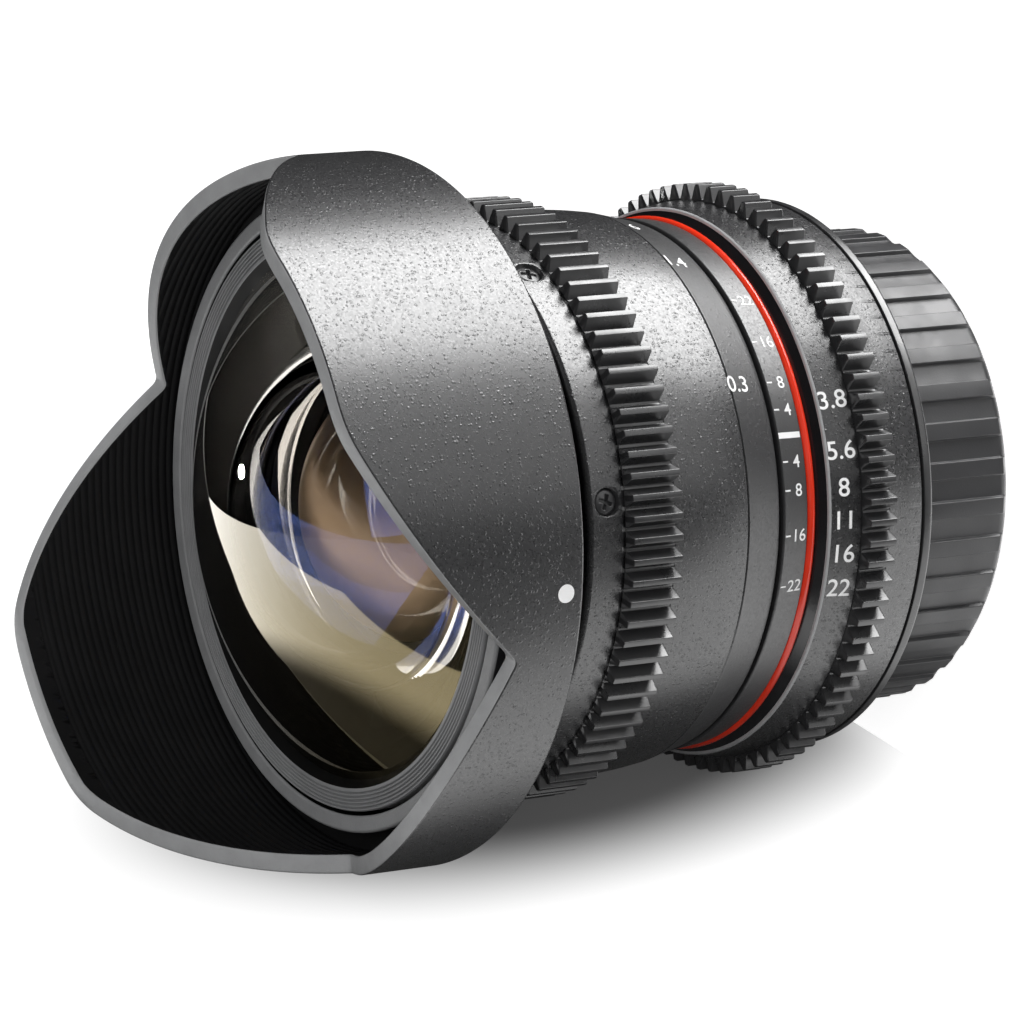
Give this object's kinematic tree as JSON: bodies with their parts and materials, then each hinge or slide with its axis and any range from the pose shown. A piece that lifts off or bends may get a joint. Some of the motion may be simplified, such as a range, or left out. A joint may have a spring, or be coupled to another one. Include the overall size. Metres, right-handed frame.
{
  "type": "fisheye lens",
  "caption": "Manual fisheye lens standing on its rear cap, with geared focus and aperture rings, a petal hood and a working iris.",
  "frame": {"origin": "centre of the rear cap's back face, on the optical axis", "axes": "+Z along the optical axis from the rear cap to the petal tips, -Y towards the side with the index line, +X the side that is uppermost in the picture"},
  "size_m": [0.0866, 0.0866, 0.102],
  "materials": {
    "crinkle_black": "matte",
    "gear_black": "satin",
    "hood_black": "matte",
    "red_accent": "gloss",
    "cap_black": "satin",
    "inner_black": "matte",
    "bezel_grey": "satin",
    "mount_chrome": "satin",
    "screw_steel": "satin",
    "pin_brass": "satin",
    "blade_steel": "matte",
    "optical_glass": "polished"
  },
  "bodies": {
    "barrel": {"mount_flange": "mount_chrome", "mount_screws": "screw_steel", "rear_baffle": "inner_black", "rear_barrel": "crinkle_black", "main_barrel": "inner_black", "index_ring": "crinkle_black", "red_ring": "red_accent", "front_barrel": "bezel_grey", "iris_housing": "inner_black", "iris_cover": "inner_black", "rear_cell": "inner_black", "cell_screws": "screw_steel", "rear_doublet_crown": "optical_glass", "rear_doublet_flint": "optical_glass", "lens_spacer": "inner_black", "rear_element": "optical_glass", "rear_retainer": "inner_black"},
    "focus": {"focus_ring": "crinkle_black", "focus_gear": "gear_black", "band_screws": "screw_steel"},
    "aperture": {"aperture_ring": "crinkle_black", "aperture_gear": "gear_black", "aperture_link": "inner_black", "cam_plate": "inner_black"},
    "front_group": {"front_cell": "inner_black", "follower_pins": "pin_brass", "front_bezel": "bezel_grey", "front_element": "optical_glass", "second_element": "optical_glass", "second_retainer": "inner_black", "inner_cell": "inner_black", "third_element": "optical_glass", "front_doublet_crown": "optical_glass", "front_doublet_flint": "optical_glass", "doublet_spacer": "inner_black"},
    "hood_body": {"hood": "hood_black"},
    "cap_body": {"rear_cap": "cap_black"},
    "blade_1": {"iris_blade_1": "blade_steel"},
    "blade_2": {"iris_blade_2": "blade_steel"},
    "blade_3": {"iris_blade_3": "blade_steel"},
    "blade_4": {"iris_blade_4": "blade_steel"},
    "blade_5": {"iris_blade_5": "blade_steel"},
    "blade_6": {"iris_blade_6": "blade_steel"}
  },
  "joints": [
    {"name": "focus_turn", "type": "hinge", "parent": "barrel", "child": "focus", "pos_m": [0, 0, 0.05], "axis": [0, 0, 1], "range_deg": [-125, 0]},
    {"name": "front_slide", "type": "slide", "parent": "barrel", "child": "front_group", "axis": [0, 0, 1], "range_m": [-0.00027, 0]},
    {"name": "aperture_turn", "type": "hinge", "parent": "barrel", "child": "aperture", "pos_m": [0, 0, 0.024], "axis": [0, 0, 1], "range_deg": [-6.1, 32.4]},
    {"name": "blade_turn_1", "type": "hinge", "parent": "barrel", "child": "blade_1", "pos_m": [0.0155, 0, 0.044], "axis": [0, 0, 1], "range_deg": [-3.2, 17]},
    {"name": "blade_turn_2", "type": "hinge", "parent": "barrel", "child": "blade_2", "pos_m": [0.00775, 0.01342, 0.044], "axis": [0, 0, 1], "range_deg": [-3.2, 17]},
    {"name": "blade_turn_3", "type": "hinge", "parent": "barrel", "child": "blade_3", "pos_m": [-0.00775, 0.01342, 0.044], "axis": [0, 0, 1], "range_deg": [-3.2, 17]},
    {"name": "blade_turn_4", "type": "hinge", "parent": "barrel", "child": "blade_4", "pos_m": [-0.0155, 0, 0.044], "axis": [0, 0, 1], "range_deg": [-3.2, 17]},
    {"name": "blade_turn_5", "type": "hinge", "parent": "barrel", "child": "blade_5", "pos_m": [-0.00775, -0.01342, 0.044], "axis": [0, 0, 1], "range_deg": [-3.2, 17]},
    {"name": "blade_turn_6", "type": "hinge", "parent": "barrel", "child": "blade_6", "pos_m": [0.00775, -0.01342, 0.044], "axis": [0, 0, 1], "range_deg": [-3.2, 17]},
    {"name": "hood_twist", "type": "hinge", "parent": "barrel", "child": "hood_body", "pos_m": [0, 0, 0.0745], "axis": [0, 0, 1], "range_deg": [0, 22.8]},
    {"name": "cap_twist", "type": "hinge", "parent": "barrel", "child": "cap_body", "pos_m": [0, 0, 0.0067], "axis": [0, 0, 1], "range_deg": [0, 60]}
  ],
  "couplings": [
    {"joint": "front_slide", "follows": "focus_turn", "m_per_rad": 0.00012375},
    {"joint": "blade_turn_1", "follows": "aperture_turn", "ratio": 0.52208},
    {"joint": "blade_turn_2", "follows": "aperture_turn", "ratio": 0.52208},
    {"joint": "blade_turn_3", "follows": "aperture_turn", "ratio": 0.52208},
    {"joint": "blade_turn_4", "follows": "aperture_turn", "ratio": 0.52208},
    {"joint": "blade_turn_5", "follows": "aperture_turn", "ratio": 0.52208},
    {"joint": "blade_turn_6", "follows": "aperture_turn", "ratio": 0.52208}
  ]
}
